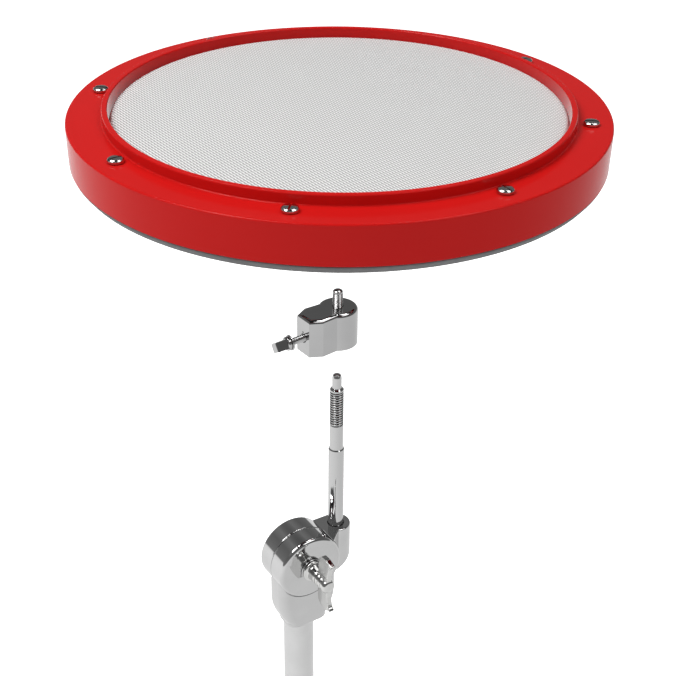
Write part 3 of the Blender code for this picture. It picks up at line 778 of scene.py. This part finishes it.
def build_rod(looks):
    hinge_height = HINGE.z / MM
    foot, tip = -7.7, 251.2 - hinge_height
    shoulder, step = 241.4 - hinge_height, 196.0 - hinge_height
    (thread_end, thread_start), pitch = ROD_THREAD, 1.75
    pilot, neck, thick = 3.05, 4.42, 5.13
    outline = ([(0.0, tip), (1.4, tip - 0.1), (2.5, tip - 0.7, 0.8), (pilot, tip - 2.2, 0.8),
                (pilot, shoulder + 0.1, 0.3), (neck - 1.0, shoulder, 0.2),
                (neck, shoulder - 1.1, 0.3)] + run(neck, thread_start, thread_end, pitch)
               + [(neck, step, 0.3), (thick, step - 0.7, 0.3), (thick, foot, 0.4), (0.0, foot)])
    ridge = thread(thread_end, thread_start, pitch, 0.8)
    piece("rod", turned(outline, 64, ridge), looks["rod"], "tilt_arm", ["stand_rod"],
          HINGE_FRAME @ offset(ROD_OFFSET), 50.0)
    grub = turned([(0.0, 0.0), (1.4, 0.0, 0.2), (2.0, 0.6, 0.2), (2.0, 4.0, 0.2), (0.0, 4.0)], 32)
    socket = prism(arc(0, 0, 1.1, 0, 300, 5), 2.2, 5.0)
    screw = combined("rod_grub_screw", grub, ("DIFFERENCE", socket))
    finish_piece(screw, looks["steel"], "tilt_arm", ["rod_set_screw"],
                 HINGE_FRAME @ offset(ROD_OFFSET + thick + 0.35) @ turn("Y", 90.0))


def build_hinge_parts(looks):
    front = HINGE_FRAME @ TO_FRONT
    fibre = [(4.0, 2.7, 0.2), (14.0, 2.7, 0.3), (14.0, 3.9, 0.3), (4.0, 3.9, 0.2)]
    piece("disc_washer", turned(fibre, 64), looks["fibre"], "stand_top", ["friction_washer"],
          front)
    plain = [(3.3, 17.65, 0.15), (7.9, 17.65, 0.3), (7.9, 18.75, 0.4), (3.3, 18.75, 0.15)]
    piece("wing_seat_washer", turned(plain, 64), looks["casting"], "stand_top", ["wing_washer"],
          front)
    crown = turned([(0.0, -4.8), (5.2, -4.8), (6.0, -5.5), (6.0, -8.5), (5.2, -9.2),
                    (0.0, -9.2)], 64)
    bore = turned([(0.0, 0.0), (3.3, 0.0)] + run(3.3, -4.8, -9.2, 1.0) + [(3.3, -20.0),
                  (0.0, -20.0)], SMALL)
    nut = combined("hinge_lock_nut", prism(arc(0, 0, 5.75, 0, 300, 5), -9.2, -4.8),
                   ("INTERSECT", crown), ("DIFFERENCE", bore))
    finish_piece(nut, looks["steel"], "tilt_arm", ["hinge_nut"], front)


WING_REACH_UPPER = 21.0
WING_REACH_LOWER = 18.6
WING_THICKNESS = 3.4
WING_LEAN = 1.5               # degrees about the hinge frame's Y
WING_SEAT = 19.05             # the hub's foot, in front of the hinge


def wing_outline(reach):
    """A wing in (reach from the hinge axis, distance in front of it), out to the given reach."""
    return [(-1.0, 29.5), (4.0, 29.5), (4.0, 28.2), (reach - 10.0, 28.0, 3.0),
            (reach - 3.0, 28.8, 2.0), (reach - 0.4, 31.6, 2.0), (reach, 37.0, 3.0),
            (reach - 1.8, 44.0, 0.7), (reach - 4.6, 41.2, 3.0), (reach - 11.0, 39.4, 3.0),
            (-1.0, 38.4)]


def build_wing_bolt(looks):
    """A cast wing head with two leaning wings, and the shank that is cast into it."""
    seat = WING_SEAT
    grips = []
    for foot, radius in ((34.3, 4.8), (31.1, 4.9), (27.9, 5.0)):
        grips += [(radius, foot + 0.7, 0.4), (radius - 0.6, foot, 0.4), (radius, foot - 0.7, 0.4)]
    hub = turned([(0.0, 40.2), (2.0, 40.1, 1.0), (4.0, 39.4, 1.2), (4.8, 37.6, 1.0)] + grips
                 + [(5.5, seat + 2.6, 1.5), (7.6, seat + 1.5, 0.6), (7.6, seat, 0.3),
                    (0.0, seat)], 64)
    changes = []
    for flip, reach in ((1, WING_REACH_UPPER), (-1, WING_REACH_LOWER)):
        upright = Matrix(((0, 0, 1, 0), (0, -1, 0, 0), (flip, 0, 0, 0), (0, 0, 0, 1)))
        wing = prism(wing_outline(reach), -WING_THICKNESS / 2, WING_THICKNESS / 2)
        changes.append(("UNION", moved(wing, turn("Y", WING_LEAN) @ upright)))
    core = moved(rod_shape(3.3, seat - 1.0, seat + 9.3), TO_FRONT)
    head = combined("wing_bolt_head", moved(hub, TO_FRONT), *changes, ("DIFFERENCE", core))
    remesh = head.modifiers.new("cast", "REMESH")
    remesh.mode = "VOXEL"
    remesh.voxel_size = 0.25 * MM
    soften = head.modifiers.new("soften", "SMOOTH")
    soften.factor = 0.5
    soften.iterations = 5
    settle(head)
    finish_piece(head, looks["wing"], "wing_bolt", ["wing_head"], HINGE_FRAME, 80.0)
    length = seat + 9.0
    shank = ([(0.0, length), (3.0, length, 0.4)] + run(3.0, length - 1.0, -7.6, 1.0)
             + [(2.2, -8.8, 0.3), (0.0, -8.8)])
    piece("wing_bolt_shank", turned(shank, SMALL, thread(-7.6, 8.0, 1.0, 0.4)), looks["steel"],
          "wing_bolt", ["wing_stud"], HINGE_FRAME @ TO_FRONT, 60.0)


# ---- stage ------------------------------------------------------------------------------------
CAMERA_LENS = 70.11                       # mm, on a 36 mm sensor
CAMERA_STAND = (1.8, -693.5, 259.5)       # from the middle of the rim's flat top
CAMERA_TURN = (59.562, -0.503, 0.413)     # degrees about X, Y and Z
# Grey of the studio by height: 0 is straight down, 0.5 the horizon, 1 straight up
STUDIO_GREYS = ((0.0, 0.88), (0.25, 0.92), (0.40, 0.96), (0.49, 0.90), (0.52, 0.20),
                (0.62, 0.17), (0.75, 0.14), (0.84, 0.21), (0.90, 0.03), (1.0, 0.02))
STUDIO_LEFT, STUDIO_RIGHT = 1.14, 0.86    # the studio is a little brighter on the left
INNER_PIECES = ("head_", "damper_", "tray_", "base_", "brass_", "rim_nut")


def world_light():
    """White to the camera; to the object a studio with a pale ground and a dark ceiling."""
    world = bpy.data.worlds.new("studio")
    bpy.context.scene.world = world
    world.use_nodes = True
    tree = world.node_tree
    tree.nodes.clear()
    place = tree.nodes.new("ShaderNodeTexCoord").outputs["Generated"]
    parts = tree.nodes.new("ShaderNodeSeparateXYZ")
    tree.links.new(place, parts.inputs[0])
    height = tree.nodes.new("ShaderNodeMapRange")
    height.inputs["From Min"].default_value = -1.0
    tree.links.new(parts.outputs["Z"], height.inputs["Value"])
    ramp = tree.nodes.new("ShaderNodeValToRGB")
    while len(ramp.color_ramp.elements) < len(STUDIO_GREYS):
        ramp.color_ramp.elements.new(0.5)
    for element, (position, grey) in zip(ramp.color_ramp.elements, STUDIO_GREYS):
        element.position = position
        element.color = (grey, grey, grey, 1.0)
    tree.links.new(height.outputs["Result"], ramp.inputs["Fac"])
    right = tree.nodes.new("ShaderNodeMapRange")
    right.inputs["From Min"].default_value = -1.0
    right.inputs["To Min"].default_value = STUDIO_LEFT
    right.inputs["To Max"].default_value = STUDIO_RIGHT
    tree.links.new(parts.outputs["X"], right.inputs["Value"])
    shaded = tree.nodes.new("ShaderNodeMix")
    shaded.data_type = "RGBA"
    shaded.blend_type = "MULTIPLY"
    shaded.inputs[0].default_value = 1.0
    tree.links.new(ramp.outputs["Color"], shaded.inputs[6])
    tree.links.new(right.outputs["Result"], shaded.inputs[7])
    studio = tree.nodes.new("ShaderNodeBackground")
    tree.links.new(shaded.outputs[2], studio.inputs["Color"])
    white = tree.nodes.new("ShaderNodeBackground")
    white.inputs["Color"].default_value = (1.0, 1.0, 1.0, 1.0)
    seen = tree.nodes.new("ShaderNodeLightPath").outputs["Is Camera Ray"]
    choice = tree.nodes.new("ShaderNodeMixShader")
    tree.links.new(seen, choice.inputs[0])
    tree.links.new(studio.outputs[0], choice.inputs[1])
    tree.links.new(white.outputs[0], choice.inputs[2])
    output = tree.nodes.new("ShaderNodeOutputWorld")
    tree.links.new(choice.outputs[0], output.inputs["Surface"])


def floor():
    """A plain white floor under the tube, shown to the camera only and clear from below."""
    bm = bmesh.new()
    bmesh.ops.create_grid(bm, x_segments=1, y_segments=1, size=20.0)
    item = bpy.data.objects.new("floor", mesh_of(bm, "floor"))
    bpy.context.scene.collection.objects.link(item)
    item.location = (0.0, 0.0, -0.5 * MM)
    made = bpy.data.materials.new("floor_white")
    made.use_nodes = True
    shader = made.node_tree.nodes["Principled BSDF"]
    shader.inputs["Base Color"].default_value = (1.0, 1.0, 1.0, 1.0)
    shader.inputs["Emission Color"].default_value = (1.0, 1.0, 1.0, 1.0)
    shader.inputs["Emission Strength"].default_value = 1.0
    tree = made.node_tree
    from_below = tree.nodes.new("ShaderNodeNewGeometry").outputs["Backfacing"]
    clear = tree.nodes.new("ShaderNodeBsdfTransparent")
    choice = tree.nodes.new("ShaderNodeMixShader")
    tree.links.new(from_below, choice.inputs[0])
    tree.links.new(shader.outputs[0], choice.inputs[1])
    tree.links.new(clear.outputs[0], choice.inputs[2])
    tree.links.new(choice.outputs[0], tree.nodes["Material Output"].inputs["Surface"])
    item.data.materials.append(made)
    item.visible_glossy = False
    item.visible_diffuse = False
    item.visible_shadow = False


def softbox(name, direction, distance, width, height, power):
    """A rectangular softbox that faces the object from a direction, sizes in metres."""
    light = bpy.data.lights.new(name, "AREA")
    light.shape = "RECTANGLE"
    light.size = width
    light.size_y = height
    light.energy = power
    item = bpy.data.objects.new(name, light)
    bpy.context.scene.collection.objects.link(item)
    towards = Vector(direction).normalized()
    item.location = Vector((ROD.x, ROD.y, 0.3)) + towards * distance
    item.rotation_mode = "QUATERNION"
    item.rotation_quaternion = (-towards).to_track_quat("-Z", "Y")


def camera():
    lens = bpy.data.cameras.new("camera")
    lens.lens = CAMERA_LENS
    lens.sensor_width = 36.0
    item = bpy.data.objects.new("camera", lens)
    bpy.context.scene.collection.objects.link(item)
    item.location = Vector((ROD.x, ROD.y, RIM_TOP)) + Vector(CAMERA_STAND) * MM
    item.rotation_mode = "XYZ"
    item.rotation_euler = [math.radians(degrees) for degrees in CAMERA_TURN]
    bpy.context.scene.camera = item


def clear_of_mirrors():
    """Leave the pad's inner and lower pieces out of mirror reflections in the chrome below."""
    for item in bpy.context.scene.objects:
        if item.name.startswith(INNER_PIECES):
            item.visible_glossy = False


def main():
    camera()
    world_light()
    floor()
    softbox("key_softbox", (-0.46, -0.16, 0.86), 1.7, 1.0, 0.9, 22.5)
    softbox("top_softbox", (0.25, 0.20, 0.95), 1.8, 0.5, 0.5, 4.5)
    softbox("strip_softbox", (0.56, -0.26, 0.79), 1.7, 1.1, 0.7, 6.0)
    bpy.context.scene.view_settings.view_transform = "Standard"
    looks = make_looks()
    headings = [screw_heading(index) for index in range(1, SCREW_COUNT + 1)]
    build_rim(looks, headings)
    build_head(looks)
    build_foam(looks)
    build_tray(looks, headings)
    build_base(looks)
    build_bush(looks)
    build_rim_screws(looks, headings)
    build_adapter(looks)
    build_key_bolt(looks)
    build_tube(looks)
    build_tilter_base(looks)
    build_tilter_arm(looks)
    build_rod(looks)
    build_hinge_parts(looks)
    build_wing_bolt(looks)
    clear_of_mirrors()


main()
